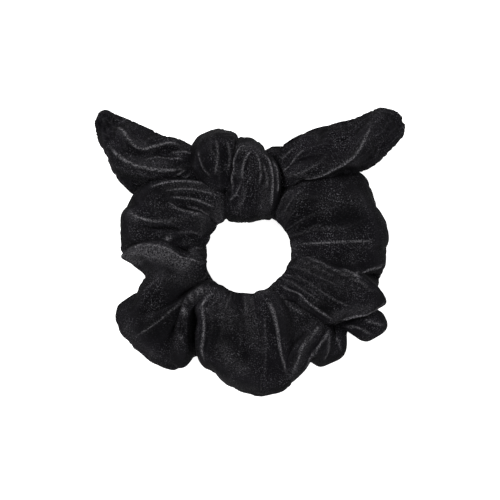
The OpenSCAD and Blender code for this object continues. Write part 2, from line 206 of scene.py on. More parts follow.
# The right ear's ribs, in the same order.
RIGHT_EAR_RIBS = [
    [(4, 40, 1), (5, 37, 2.4), (6, 34, 2.4), (7, 31, 1)],
    [(9.6, 42.8, -1), (10.4, 39.6, 2), (11.6, 35, 3.4), (12.6, 31, 3), (13, 28.6, 0)],
    [(14, 43.4, -2), (15, 39.6, 2), (16.4, 35, 4.4), (17.2, 31.8, 5.6), (17.6, 30, 4), (18, 28.4, 0)],
    [(18.6, 46.8, -3), (20, 42, 2.4), (21.4, 37, 4.6), (22.2, 33.2, 6.4), (22.6, 31.4, 4.6), (23, 29.6, 0)],
    [(25, 49.8, -3.4), (26.4, 44, 2.8), (28, 38.6, 5.4), (28.8, 34.8, 7), (29.6, 32.4, 4.4),
     (30.2, 30.4, 0)],
    [(33, 52.3, -4), (34, 46.6, 2.4), (35.2, 41, 5.4), (36, 37.6, 7), (37.4, 34.6, 3.4), (38.4, 32, -1)],
    [(41, 54.2, -5), (41.6, 49.6, 1), (42, 45.6, 4.4), (42.6, 42.8, 6), (45, 38, 2), (47, 34.8, -4)],
    [(47.4, 56.6, -6), (47.6, 53.6, -1), (47.8, 50.8, 2.8), (48.2, 48.6, 4.4), (51, 43.6, 1),
     (53.6, 39.6, -5)],
    [(53.4, 57.7, -7), (53, 56, -3.4), (52.8, 54.4, -1.4), (54.4, 51, 0), (57, 47.4, -1.6), (59, 45.4, -6)],
    [(57.8, 56.9, -8), (57.8, 56, -6), (58.4, 53, -4.6), (60, 50, -5.4), (61, 48.6, -7.6)],
    [(60.2, 55.2, -8.4), (60.8, 54.4, -8), (61.2, 53.2, -8), (61.5, 52.2, -8.6)],
]

# The knot's winding: a closed loop through the opening, over the ring and back under it. Each rib runs from
# its left edge to its right edge.
WINDING_RIBS = [
    [(-8.6, 15.6, -4), (-4, 15.4, -4), (0.6, 15.4, -4), (5, 15.8, -4), (9.8, 16.4, -4)],
    [(-8.8, 15.6, 0.6), (-4, 15.2, 1), (0.6, 15.2, 1.2), (3.6, 16.2, 1.2), (7, 16.8, 1), (10.6, 16.6, 0)],
    [(-9.8, 18, 3), (-5, 16.8, 5.6), (0, 16.6, 6), (3.4, 17.6, 5.6), (5.8, 17.6, 6), (8.4, 18.4, 5),
     (11, 19.4, 2.2)],
    [(-9, 20.6, 4.4), (-5.2, 21, 8.8), (-0.4, 21.2, 9.8), (3.6, 21.4, 8.8), (5.6, 21.4, 9.6),
     (8.6, 22.2, 8), (11.8, 23.4, 3)],
    [(-7.2, 26.6, 4.6), (-5, 27.4, 9.6), (-1, 27.8, 11), (3.4, 27.8, 10), (5.8, 27.8, 10.6), (8.8, 28, 8.6),
     (12.3, 28.2, 3)],
    [(-6.6, 32.4, 5), (-4.8, 33.2, 9.8), (-1.6, 34, 11.8), (2, 34.4, 11.6), (4.8, 34, 11.4), (8, 33.6, 9),
     (11.4, 33, 2.4)],
    [(-7, 38, 5), (-5, 38.8, 9.4), (-2.4, 39.6, 11.4), (0.6, 40, 11.2), (3.4, 39.2, 10), (6, 38.2, 7),
     (8.6, 37.2, 1.4)],
    [(-5.6, 42, 2.6), (-4, 43, 6), (-2, 43.8, 7.6), (0.4, 43.6, 7), (2.6, 42.6, 5), (5.6, 41, 0)],
    [(-6, 42.4, -3), (-3.6, 43, -2.6), (-0.8, 43, -2.4), (2, 42.4, -2.8), (5, 41, -3.6)],
    [(-6.6, 38.6, -8), (-3.4, 39, -8.6), (0, 39, -8.8), (3.6, 38.4, -8.6), (7, 37.6, -8)],
    [(-7.6, 30, -8.8), (-3.6, 30, -9.4), (0.6, 30, -9.5), (5, 30, -9.4), (9.4, 30, -8.6)],
    [(-8.4, 21, -8.6), (-4, 21, -9.2), (0.6, 21, -9.4), (5, 21, -9.2), (9.8, 21.4, -8.4)],
]

# The knot's big left fold, from its lower end to its upper end. Each rib runs from left to right.
FOLD_RIBS = [
    [(-12.6, 26.8, 2), (-11.8, 26.5, 2.4), (-10.8, 26.3, 2.4), (-10, 26.2, 2)],
    [(-16.4, 29.6, 1), (-13.6, 29.4, 5.6), (-10, 29, 6.4), (-7, 28.8, 4)],
    [(-19.8, 33.2, -1), (-17, 33.4, 6), (-12.4, 33.2, 9.4), (-8, 32.8, 8), (-5.4, 32.4, 4)],
    [(-20.6, 37.8, -2), (-18.4, 38, 6.4), (-13.4, 38.2, 10.4), (-8.6, 38, 9.4), (-5, 37.4, 4)],
    [(-20.6, 42, -3), (-18, 42.4, 4.6), (-13.2, 43, 9.2), (-8, 42.8, 8.4), (-4, 42.2, 2.4)],
    [(-19, 44.8, -4), (-16.4, 45, 1.6), (-12.4, 45.4, 5), (-8, 45.2, 4.6), (-4.4, 44.6, -1)],
    [(-16, 46.6, -5), (-12.8, 47, -1.4), (-9.2, 47.2, -0.6), (-6, 46.6, -4)],
    [(-12, 47.4, -6), (-10.6, 47.6, -5.2), (-9, 47.6, -5.2), (-8, 47.2, -6)],
]

# Creases seen from above, each with its points in order, its height, its width to the left and right of the
# way it runs, and how strong the painted sheen highlight along its crest is. A negative height is a valley.
COVER_CREASES = [
    # left lobe, from the bow down
    ([(-39, 25.4), (-31.9, 27.6), (-21, 27.8), (-13, 26), (-8.5, 24)], 1.5, 0.9, 2.2, 0.9),
    ([(-34, 24.4), (-25, 25.4), (-16, 24.2), (-10.5, 22.4)], 1.0, 0.7, 1.2, 0.5),
    ([(-31, 22.6), (-25.2, 22.1), (-19.2, 21.2), (-12, 18.6)], 1.1, 0.7, 1.0, 0.7),
    ([(-30.6, 20.8), (-28.2, 18.4), (-23.9, 16.7), (-17.4, 15)], 1.4, 1.1, 0.7, 0.9),
    ([(-24, 19.4), (-19.4, 18.2), (-14.6, 15.6)], 0.8, 0.7, 0.7, 0.5),
    ([(-46.8, 19.4), (-43.9, 15.9), (-38.5, 14), (-30.5, 13.6), (-22.5, 13.1),
     (-16.2, 11.8)], 1.8, 2.0, 0.9, 1.0),
    ([(-44, 11.4), (-34, 10.6), (-26, 10.2), (-18.4, 9.2)], -0.9, 1.4, 1.4, 0),
    ([(-28, 9.4), (-22.4, 9.6), (-16.6, 9)], 0.8, 0.7, 0.7, 0.4),
    ([(-34, 7.8), (-27.9, 6.3), (-21.2, 5.8), (-17.2, 6.8)], 1.4, 1.3, 0.8, 0.9),
    ([(-23.6, 2.6), (-20.6, 3.2), (-17.6, 3)], 0.7, 0.7, 0.7, 0.9),
    # the fold that rolls over the left lobe
    ([(-49, 0.6), (-45, 2.8), (-38.5, 3.6), (-31.9, 2.4), (-25.2, -0.6),
     (-17.8, -3.4)], 1.0, 0.8, 3.6, 1.0),
    ([(-44.6, -2.4), (-40.4, -0.4), (-34, -0.2), (-28, -2.6), (-21, -6)], 0.8, 1.4, 2.2, 0.3),
    # lower left lobe
    ([(-14.6, -9.4), (-20, -14.6), (-26.5, -19), (-36.5, -26.5), (-45.2, -32.4)], 1.0, 1.0, 2.2, 0.5),
    ([(-15, -8), (-21.4, -12.6), (-29, -17.2), (-38, -20)], -1.2, 1.0, 1.6, 0),
    ([(-30, -7.4), (-36, -9.6), (-43, -15.6)], 0.7, 2.0, 2.0, 0.15),
    ([(-13.4, -12), (-18.5, -14.5), (-22.5, -17.1), (-24.6, -20.9), (-25.4, -26.3), (-26.5, -34.3)],
     1.3, 0.7, 1.5, 0.9),
    # bottom lobe
    ([(-12, -14.6), (-15.2, -16.6), (-17.2, -20), (-16.5, -25), (-16.4, -30), (-17, -36.9), (-15.9, -41.8)],
     1.0, 1.4, 0.7, 1.0),
    ([(-8, -16), (-8.6, -21), (-11, -26)], 0.6, 1.0, 1.0, 0.3),
    ([(1, -17), (2, -24), (1.4, -31)], 0.5, 1.2, 1.2, 0.15),
    ([(4.2, -22), (5, -32), (5.2, -44), (5.2, -53)], -0.8, 0.8, 0.8, 0),
    ([(6.6, -21), (7, -32), (6.4, -48)], 0.4, 0.8, 1.2, 0.2),
    # the V
    ([(7.6, -16), (10.1, -23.6), (11.5, -30.3), (12.1, -35.6), (13.5, -40.9),
     (14.8, -46.6)], 1.4, 0.8, 1.8, 0.85),
    ([(28.6, -26), (24.1, -30.3), (20.1, -35.6), (18.1, -40.9), (16.1, -46.6)], 1.4, 0.8, 1.8, 0.95),
    ([(31.8, -27.8), (29.6, -32.6), (26.8, -36.9), (23.5, -40.9), (20.5, -44.9)], 1.3, 0.8, 1.5, 0.8),
    ([(12, -14), (17, -20), (22, -24)], 0.7, 0.9, 0.9, 0.4),
    # right-hand panel's edge
    ([(12.4, -11), (20.1, -16), (28.1, -21.1), (34, -25)], 0.6, 1.4, 0.6, 0.8),
    ([(34, -25.2), (38, -25), (42, -24), (48.1, -22.4), (52.8, -19)], 0.8, 1.2, 0.6, 1.0),
    ([(48.6, -23.4), (50.4, -21.4), (53.4, -17.8)], 1.1, 0.8, 0.7, 1.0),
    ([(17, -6.6), (26, -12), (34, -17), (42, -20.8)], 0.8, 1.2, 1.2, 0.3),
    ([(18, -3.4), (27, -7.6), (36, -12)], 0.7, 1.0, 1.0, 0.3),
    ([(15, -9), (22, -13.6), (29, -18)], 0.7, 0.9, 0.9, 0.3),
    # its upper ridge and the pocket
    ([(18.4, 0.2), (28.1, -3.1), (36.1, -7.1), (42.8, -10.3), (50, -14.8)], 1.1, 1.1, 2.0, 0.5),
    ([(19, -1.4), (28, -5.4), (35, -9)], 0.6, 0.8, 0.8, 0.3),
    ([(39.6, -8.6), (42.6, -6.6), (46.4, -5), (50.8, -3.9), (53.4, -2.4)], 1.3, 0.7, 1.0, 1.0),
    ([(35.4, -5.2), (39, -6.6), (43.4, -9.4)], 0.8, 0.8, 0.8, 0.8),
    # smooth right-hand panel
    ([(19, 4.4), (29, 5.2), (38.8, 5.7), (49.4, 5.8)], 1.2, 1.3, 1.0, 0.65),
    ([(18.6, 7.6), (24, 10.6), (30, 12.4)], 0.6, 1.4, 1.4, 0.15),
    ([(14, 15.4), (17.4, 21), (22, 25.4)], 0.8, 1.0, 1.0, 0.3),
    ([(12.6, 17.4), (14.6, 22), (17.6, 26)], 0.7, 0.8, 0.8, 0.3),
    # small ruffles
    ([(31, -30), (31, -36), (29.6, -42)], 1.0, 0.8, 0.8, 0.5),
    ([(33.4, -30), (35, -34), (36.6, -38)], 0.9, 0.8, 0.8, 0.5),
    ([(37.4, -28), (44, -28.4), (49, -31.4)], 1.0, 0.8, 1.0, 0.6),
    ([(46, -25.4), (50.6, -27), (54.6, -27.6)], 1.0, 0.8, 1.0, 0.7),
]
LEFT_EAR_CREASES = [
    ([(-54.6, 52.8), (-49.2, 49.3), (-45.9, 45.3), (-41.9, 42.7), (-36.5, 43.8), (-31.2, 44.8), (-25, 44)],
     1.3, 0.8, 1.5, 0.95),
    ([(-54.2, 45), (-50.5, 40.1), (-45.2, 36.8), (-38.5, 34.7), (-30.5, 34),
     (-24, 34.6)], 1.5, 1.7, 0.8, 1.0),
    ([(-41, 38.4), (-33, 38.8), (-25, 37.6)], 0.8, 1.1, 1.1, 0.4),
    ([(-30.6, 41.6), (-25.4, 41.2), (-21.4, 39.6)], 0.8, 0.9, 0.9, 0.5),
    ([(-32, 30), (-28.4, 31.8), (-24.4, 34.4)], 0.9, 0.8, 0.9, 0.7),
    ([(-30, 28.6), (-26.4, 30.4), (-22.6, 33)], 0.8, 0.8, 0.8, 0.5),
]
RIGHT_EAR_CREASES = [
    ([(17, 29.6), (26.8, 32), (33.5, 34.7), (40.1, 38.8), (44.1, 43.3), (46.8, 47.9), (49.6, 52.6)],
     1.4, 1.7, 0.8, 1.0),
    ([(13.6, 32.6), (18.1, 37.7), (22.6, 42.2)], 1.2, 0.8, 1.0, 0.7),
    ([(15.4, 31.6), (22, 33.4), (29, 37)], 0.8, 0.9, 0.9, 0.4),
    ([(12.6, 38), (15.6, 40.6), (19, 43)], 0.8, 0.8, 0.8, 0.4),
]
WINDING_CREASES = [
    ([(-6.8, 24.4), (-6, 32.4), (-4.6, 38.4), (-2, 41.8), (1.2, 42.6)], 1.1, 0.7, 1.1, 0.8),
    ([(-2.6, 29), (-2, 34), (-0.8, 37.8), (1.8, 40.8)], 1.1, 0.7, 0.9, 0.8),
    ([(2.2, 40.4), (3.8, 36.6), (4.4, 32), (3.8, 27)], 0.9, 0.7, 0.7, 0.6),
    ([(5.2, 36), (6.6, 31), (6.8, 26)], 0.5, 0.5, 0.5, 0.5),
    ([(4.6, 40), (7.2, 36.4), (8.4, 31.1), (8.4, 24.4), (7.8, 18.2)], 1.3, 0.7, 0.7, 1.0),
    ([(8.2, 37), (9.8, 33.6), (10.4, 29), (10.4, 24)], 0.8, 0.6, 0.6, 0.8),
    ([(-7.4, 21), (-4.6, 24.6), (-3.4, 29)], 0.8, 0.7, 0.7, 0.5),
    ([(-5, 18), (-2, 22), (-0.6, 28)], 0.6, 0.8, 0.8, 0.25),
]
FOLD_CREASES = [
    ([(-12.4, 45.4), (-11.6, 39.1), (-12.9, 31.4)], 0.9, 1.2, 1.2, 0.5),
    ([(-18.6, 41.6), (-17.2, 35.6), (-13.8, 30.6)], 0.8, 1.0, 1.0, 0.35),
    ([(-8.4, 44.6), (-7.6, 39.4), (-8, 33)], 0.8, 1.0, 1.0, 0.4),
]

# Painted sheen patches, where the pile is brushed the other way and looks paler: points in order, half
# width, and how much
SHEEN_PATCHES = [
    ([(-47.4, -1), (-41, 0.8), (-34, 0.4), (-26, -3)], 3.2, 1.3),
    ([(-49, 0), (-46, -1.6), (-43, -2.6)], 1.8, 1.4),
    ([(-40, -6), (-32, -7.6), (-24, -8)], 4.5, 0.3),
    ([(-46.6, 17), (-43.4, 14.6)], 1.8, 0.5),
    ([(-47, -29), (-43.6, -34), (-38, -38)], 2.6, 0.3),
    ([(-13.6, -15.6), (-9, -19), (-7, -26)], 3.4, 0.35),
    ([(-9, -35), (-6, -41), (-2, -43)], 3.0, 0.4),
    ([(-8, -48), (-1.6, -51), (2.6, -51.6)], 1.6, 0.45),
    ([(11, -19), (15, -25), (17, -33)], 3.4, 0.25),
    ([(25, -29), (19.6, -38), (16.6, -46)], 1.6, 0.4),
    ([(30, 20), (38, 21.4), (46, 21)], 4.0, 0.18),
    ([(20, -2), (29, -6.4), (38, -12)], 4.0, 0.22),
    ([(34, -23), (41, -22), (47, -20.6)], 2.0, 0.4),
    ([(5.6, 17.6), (6.4, 22), (7, 27)], 2.6, 0.4),
    ([(-3, 41), (1.6, 42.4), (4.6, 40.4)], 2.0, 0.45),
    ([(-46, 37.8), (-40, 36.8), (-33, 36.6)], 2.4, 0.3),
    ([(-52, 51), (-46, 46), (-41, 43.6)], 1.4, 0.35),
    ([(30, 34), (40, 39), (46, 47)], 1.8, 0.25),
    ([(-30, 26), (-20, 26), (-12, 24)], 2.4, 0.3),
]

# Half the distance between the two plies in millimetres, at the opening, halfway out and at the edge
COVER_HALF = (4.3, 2.1, 1.7)
EAR_HALF = (1.6, 1.5, 1.6)
WINDING_HALF = (1.9, 1.9, 1.9)
FOLD_HALF = (2.4, 2.6, 2.4)

# Grid of each cloth: columns round the ring and rows across; a strip has STRIP_STEPS columns from rib to rib
COVER_COLUMNS = 900
COVER_ROWS = 72
STRIP_ROWS = 108
STRIP_STEPS = 28
END_SHARPNESS = 8
CREASE_STEPS = 36
FLOOR_GAP = 0.1 * MM
# Cloth simulation: enlargement, columns per coarse column, rows, frames, slack, furthest move and settings
SIM_SCALE = 20
SIM_STEP = 4
SIM_ROWS = 19
SIM_FRAMES = 16
SIM_SLACK = 0.07
SIM_LIMIT = 1.3 * MM
SIM_SETTINGS = {
    "quality": 6, "mass": 0.2, "tension_stiffness": 12, "compression_stiffness": 12,
    "shear_stiffness": 4, "bending_stiffness": 0.6, "shrink_min": -SIM_SLACK, "shrink_max": -SIM_SLACK,
    "use_pressure": True, "uniform_pressure_force": 0.4, "vertex_group_mass": "held", "pin_stiffness": 0.6,
}
# Pleats round the ring, the strength of the painted sheen patches, and the height of a crease and the width
# (in millimetres) of the painted sheen line on its crest
FINE_PLEATS = 110
BROAD_PLEATS = 42
PATCH_SHEEN = 0.3
CREASE_RISE = 0.7 * MM
SHEEN_LINE_W = 0.32

THREAD_R = 0.22 * MM
THREAD_SIDES = 8
LONG_SEAM_R = 18.2 * MM
LONG_SEAM_Z = 3.2 * MM
LONG_SEAM_ARCH = 0.15 * MM
LONG_SEAM_STITCHES = 44
CLOSING_STITCHES = 12
CLOSING_AT = (0, 0.3, 1)
CLOSING_X = (4 * MM, 5.2 * MM, 5.2 * MM)
CLOSING_Y = (-20 * MM, -53.5 * MM)
THREAD_SINK = 0.3 * THREAD_R
TACK_STITCHES = 7
ELASTIC_T = 1.2 * MM
ELASTIC_RIBS = 8
ELASTIC_RIB_STEPS = 6
ELASTIC_RIB_H = 0.12 * MM
ELASTIC_STEPS = 160
INSIDE_CLEAR = 0.5 * MM
# From below the object to its middle
PROBE = Vector((0, 0, 0.05))


# ---------------------------------------------------------------- smooth surfaces through ribs


def hermite(knots, values, at):
    """Smooth curve through values at uneven knots, with each tangent taken from its two neighbours."""
    steps = np.diff(knots)
    shape = (-1,) + (1,) * (values.ndim - 1)
    slopes = np.diff(values, axis=0) / steps.reshape(shape)
    tangents = np.empty_like(values)
    tangents[0], tangents[-1] = slopes[0], slopes[-1]
    before, after = steps[:-1].reshape(shape), steps[1:].reshape(shape)
    tangents[1:-1] = (slopes[:-1] * after + slopes[1:] * before) / (before + after)
    i = np.clip(np.searchsorted(knots, at, side="right") - 1, 0, len(steps) - 1)
    t = ((at - knots[i]) / steps[i]).reshape(shape)
    h = steps[i].reshape(shape)
    t2, t3 = t * t, t * t * t
    return (
        values[i] * (2 * t3 - 3 * t2 + 1)
        + tangents[i] * h * (t3 - 2 * t2 + t)
        + values[i + 1] * (3 * t2 - 2 * t3)
        + tangents[i + 1] * h * (t3 - t2)
    )


def curve(points, at):
    """Points of the smooth curve through given points, at shares of its length."""
    knots = np.concatenate([[0], np.cumsum(np.linalg.norm(np.diff(points, axis=0), axis=1))])
    return hermite(knots / knots[-1], points, at)


def row_shares(rows):
    """Shares across a flattened tube, closer together towards its two edges."""
    even = np.arange(rows) / (rows - 1)
    return 0.6 * even + 0.4 * (0.5 - 0.5 * np.cos(np.pi * even))


def surface(ribs, columns, rows, closed):
    """Grid of points, columns by rows, on the smooth surface through the ribs, in metres."""
    across = np.array([curve(np.array(rib, float) * MM, row_shares(rows)) for rib in ribs])
    if closed:
        wrap = 3
        across = np.concatenate([across[-wrap:], across, across[:wrap + 1]])
    gaps = np.sqrt(np.linalg.norm(np.diff(across, axis=0), axis=2).mean(axis=1))
    knots = np.concatenate([[0], np.cumsum(gaps)])
    if closed:
        low, high = knots[wrap], knots[wrap + len(ribs)]
        at = low + (high - low) * np.arange(columns) / columns
    else:
        at = np.linspace(knots[0], knots[-1], columns)
    return hermite(knots, across, at)


def grid_normals(grid, closed):
    """Unit normal of the surface at each point of a grid."""
    if closed:
        along = np.roll(grid, -1, axis=0) - np.roll(grid, 1, axis=0)
    else:
        along = np.gradient(grid, axis=0)
    across = np.gradient(grid, axis=1)
    normal = np.cross(across, along)
    return normal / np.maximum(np.linalg.norm(normal, axis=2, keepdims=True), 1e-12)


def smoothstep(x):
    """Smooth rise from 0 at x = 0 to 1 at x = 1."""
    x = np.clip(x, 0, 1)
    return x * x * (3 - 2 * x)


def half_gap(shape, halves):
    """Half the distance between the plies over a grid, closing in a round edge at both ends of each row."""
    v = row_shares(shape[1])
    inner, middle, outer = halves
    body = inner + (middle - inner) * smoothstep((v - 0.1) / 0.3) + (outer - middle) * smoothstep(2 * v - 1)
    body *= np.sqrt(np.maximum(1 - np.abs(2 * v - 1) ** END_SHARPNESS, 0))
    return np.tile(body * MM, (shape[0], 1))


def near_line(x, y, points, reach):
    """For the points of a grid within reach of a smooth line through points: which they are, how far each is
    from the line, whether it is on the line's left, and its share of the way along."""
    line = curve(np.array(points, float), np.linspace(0, 1, CREASE_STEPS))
    low, high = line.min(axis=0) - reach, line.max(axis=0) + reach
    near = (x > low[0]) & (x < high[0]) & (y > low[1]) & (y < high[1])
    at = np.stack([x[near], y[near]], axis=1)
    best = np.full(len(at), np.inf)
    side, along = np.zeros(len(at)), np.zeros(len(at))
    for k in range(CREASE_STEPS - 1):
        step = line[k + 1] - line[k]
        to = at - line[k]
        t = np.clip(to @ step / (step @ step), 0, 1)
        d = np.linalg.norm(to - t[:, None] * step, axis=1)
        closer = d < best
        best = np.where(closer, d, best)
        side = np.where(closer, step[0] * to[:, 1] - step[1] * to[:, 0], side)
        along = np.where(closer, (k + t) / (CREASE_STEPS - 1), along)
    return near, best, side > 0, along


def crease_fields(grid, creases):
    """Height of the creases at each point of a grid, in metres, and the painted sheen there: bright lines
    along the crests and paler patches.
    """
    x, y = grid[..., 0] / MM, grid[..., 1] / MM
    height, painted_sheen = np.zeros(x.shape), np.zeros(x.shape)
    for points, rise, left_w, right_w, shine in creases:
        near, away, on_left, along = near_line(x, y, points, 3 * max(left_w, right_w))
        fade = smoothstep(np.minimum(along, 1 - along) / 0.2)
        width = np.where(on_left, left_w, right_w)
        height[near] += rise * CREASE_RISE * fade * np.exp(-((away / width) ** 1.3))
        # painted sheen: a bright line along the crease's crest
        painted_sheen[near] = np.maximum(painted_sheen[near], shine * fade * np.exp(-((away / SHEEN_LINE_W) ** 2)))
    for points, half_w, share in SHEEN_PATCHES:
        near, away, _, _ = near_line(x, y, points, 2.4 * half_w)
        # painted sheen: a paler patch where the pile is brushed the other way
        painted_sheen[near] = np.maximum(painted_sheen[near], PATCH_SHEEN * share * np.exp(-((away / half_w) ** 2)))
    return height, painted_sheen


def loop_faces(columns, ring, closed):
    """Quads round and along a tube whose columns each hold one ring of points."""
    faces = []
    for i in range(columns if closed else columns - 1):
        a, b = i * ring, (i + 1) % columns * ring
        for j in range(ring):
            k = (j + 1) % ring
            faces.append((a + j, b + j, b + k, a + k))
    return faces


def new_piece(name, points, faces):
    """A smooth-shaded mesh object whose faces point outwards."""
    mesh = bpy.data.meshes.new(name)
    mesh.from_pydata(np.asarray(points, float).reshape(-1, 3).tolist(), [], faces)
    mesh.polygons.foreach_set("use_smooth", [True] * len(mesh.polygons))
    piece = bpy.data.objects.new(name, mesh)
    bpy.context.scene.collection.objects.link(piece)
    bm = bmesh.new()
    bm.from_mesh(mesh)
    bmesh.ops.recalc_face_normals(bm, faces=bm.faces)
    bm.to_mesh(mesh)
    bm.free()
    return piece


def plies(grid, normal, top, below):
    """Points of both plies, one ring per column: up the upper ply and back along the lower one."""
    upper = grid + top[..., None] * normal
    lower = grid - below[..., None] * normal
    return np.concatenate([upper, lower[:, -2:0:-1]], axis=1)


def upward_normals(grid, closed):
    """Normals of the grid, turned so that an open strip's point up."""
    normal = grid_normals(grid, closed)
    return -normal if not closed and normal[..., 2].mean() < 0 else normal


def settled(grid, half, closed, grip):
    """How far each point of the two plies moves in a cloth simulation of the slack tube, in metres. The
    cloth is a little too big for its shape, so it buckles into soft folds. grip pins it, from 0 to 1, over
    the rows. It runs on a coarse copy at SIM_SCALE, and its result is spread over the fine grid."""
    columns, rows = grid.shape[0], grid.shape[1]
    few = (np.arange(0, columns, SIM_STEP), np.linspace(0, rows - 1, SIM_ROWS).round().astype(int))
    coarse, thin = grid[few[0]][:, few[1]], half[few[0]][:, few[1]]
    start = plies(coarse, upward_normals(coarse, closed), thin, thin)
    ring = start.shape[1]
    piece = new_piece("slack_cloth", start * SIM_SCALE, loop_faces(len(start), ring, closed))
    pins = grip(few[1] / (rows - 1))
    held = np.tile(np.concatenate([pins, pins[-2:0:-1]]), (len(start), 1))
    if not closed:
        held[:2], held[-2:] = 1, 1
    group = piece.vertex_groups.new(name="held")
    for i, weight in enumerate(held.ravel()):
        group.add([i], float(weight), "REPLACE")
    cloth = piece.modifiers.new("cloth", "CLOTH")
    cloth.point_cache.frame_end = SIM_FRAMES
    for key, value in SIM_SETTINGS.items():
        setattr(cloth.settings, key, value)
    cloth.settings.effector_weights.gravity = 0
    cloth.collision_settings.use_collision = False
    scene = bpy.context.scene
    for frame_number in range(1, SIM_FRAMES + 1):
        scene.frame_set(frame_number)
    done = piece.evaluated_get(bpy.context.evaluated_depsgraph_get()).data
    end = np.empty(len(done.vertices) * 3)
    done.vertices.foreach_get("co", end)
    moved = end.reshape(start.shape) / SIM_SCALE - start
    bpy.data.objects.remove(piece)
    scene.frame_set(1)
    size = np.linalg.norm(moved, axis=2, keepdims=True)
    moved *= SIM_LIMIT * np.tanh(size / SIM_LIMIT) / np.maximum(size, 1e-9)
    wide = np.concatenate([moved, moved[:, :1]], axis=1).swapaxes(0, 1)
    shares = np.concatenate([few[1], 2 * (rows - 1) - few[1][-2::-1]]) / (2 * (rows - 1))
    wide = hermite(shares, wide, np.arange(2 * (rows - 1)) / (2 * (rows - 1))).swapaxes(0, 1)
    if closed:
        wide = np.concatenate([wide, wide[:1]])
        return hermite(np.append(few[0], columns).astype(float), wide, np.arange(columns, dtype=float))
    return hermite(few[0].astype(float), wide, np.arange(columns, dtype=float))


def ply_mesh(name, grid, half, closed, creases, wrinkle, grip):
    """Two plies of cloth on either side of a grid, joined at the edges of each row, as one closed mesh.
    The creases go on the plies' upper faces."""
    columns, rows = grid.shape[:2]
    normal = upward_normals(grid, closed)
    inside = half / np.maximum(half.max(axis=1, keepdims=True), 1e-9)
    height, painted_sheen = crease_fields(grid + half[..., None] * normal, creases)
    folds, sharp = wrinkle(columns, rows, 1)
    upward = smoothstep(normal[..., 2] / 0.3)
    top = half + (height * upward + folds) * inside
    below = half + wrinkle(columns, rows, -1)[0] * inside
    loop = plies(grid, normal, top, below)
    loop += settled(grid, half, closed, grip)
    loop[..., 2] = np.maximum(loop[..., 2], FLOOR_Z + FLOOR_GAP)
    # painted sheen highlight along crests, pleats and brushed patches, on the upper ply where it faces up
    sheen_mask = np.zeros(loop.shape[:2], np.float32)
    sheen_mask[:, :rows] = np.maximum(painted_sheen, sharp) * upward
    ring = loop.shape[1]
    faces = loop_faces(columns, ring, closed)
    if not closed:
        for start in (0, (columns - 1) * ring):
            for j in range(rows - 1):
                corners = (j, j + 1, (ring - j - 1) % ring, (ring - j) % ring)
                faces.append([start + c for c in dict.fromkeys(corners)])
    piece = new_piece(name, loop, faces)
    piece.data.attributes.new("sheen_mask", "FLOAT", "POINT").data.foreach_set("value", sheen_mask.ravel())
    return piece


# ---------------------------------------------------------------- wrinkles


def ridged(x, y, z):
    """Noise with sharp crests and round troughs, from 0 to 1."""
    return 1 - min(1, 2.6 * abs(noise.noise(Vector((x, y, z)))))


def gather_wrinkle(columns, rows, side):
    """Pleats that run outwards from the gathered edge and fade: their height in metres, and the painted
    sheen highlight on their crests."""
    height, painted_sheen = np.zeros((columns, rows)), np.zeros((columns, rows))
    fine_r, broad_r = FINE_PLEATS / (2 * math.pi), BROAD_PLEATS / (2 * math.pi)
    for i in range(columns):
        turn = 2 * math.pi * i / columns
        c, s = math.cos(turn), math.sin(turn)
        for j, v in enumerate(row_shares(rows)):
            fine = ridged(c * fine_r, s * fine_r, v * 2.2 + 5 * side)
            broad = ridged(c * broad_r + 40, s * broad_r, v * 2.0 + 9 * side)
            soft = noise.noise(Vector((c * 5.2, s * 5.2, v * 3.2 + 3 * side)))
            near, far = math.exp(-v / 0.2), math.exp(-v / 0.34)
            height[i, j] = 0.45 * fine * near + 0.9 * broad * far + 0.6 * soft
            # painted sheen highlight on the pleats' crests
            painted_sheen[i, j] = 0.2 * fine ** 3 * near + 0.26 * broad ** 4 * far
    return height * MM, painted_sheen


def soft_wrinkle(amount, length_scale, width_scale, seed):
    """Low soft wrinkles for a strip of cloth, with a few sharper ones along it."""

    def wrinkle(columns, rows, side):
        """Their height in metres and the painted sheen highlight on their sharp crests, on the upper (1) or
        lower (-1) ply.
        """
        height, painted_sheen = np.zeros((columns, rows)), np.zeros((columns, rows))
        for i in range(columns):
            for j, v in enumerate(row_shares(rows)):
                at = Vector((i / columns * length_scale, v * width_scale, seed + 7 * side))
                sharp = ridged(at.x * 0.7, v * width_scale * 2.6, seed + 3 * side)
                height[i, j] = noise.noise(at) + 0.4 * noise.noise(at * 2.7) + 0.35 * sharp
                # painted sheen highlight on the sharp wrinkles' crests
                painted_sheen[i, j] = 0.1 * sharp ** 5
        return height * amount * MM, painted_sheen

    return wrinkle


# ---------------------------------------------------------------- materials


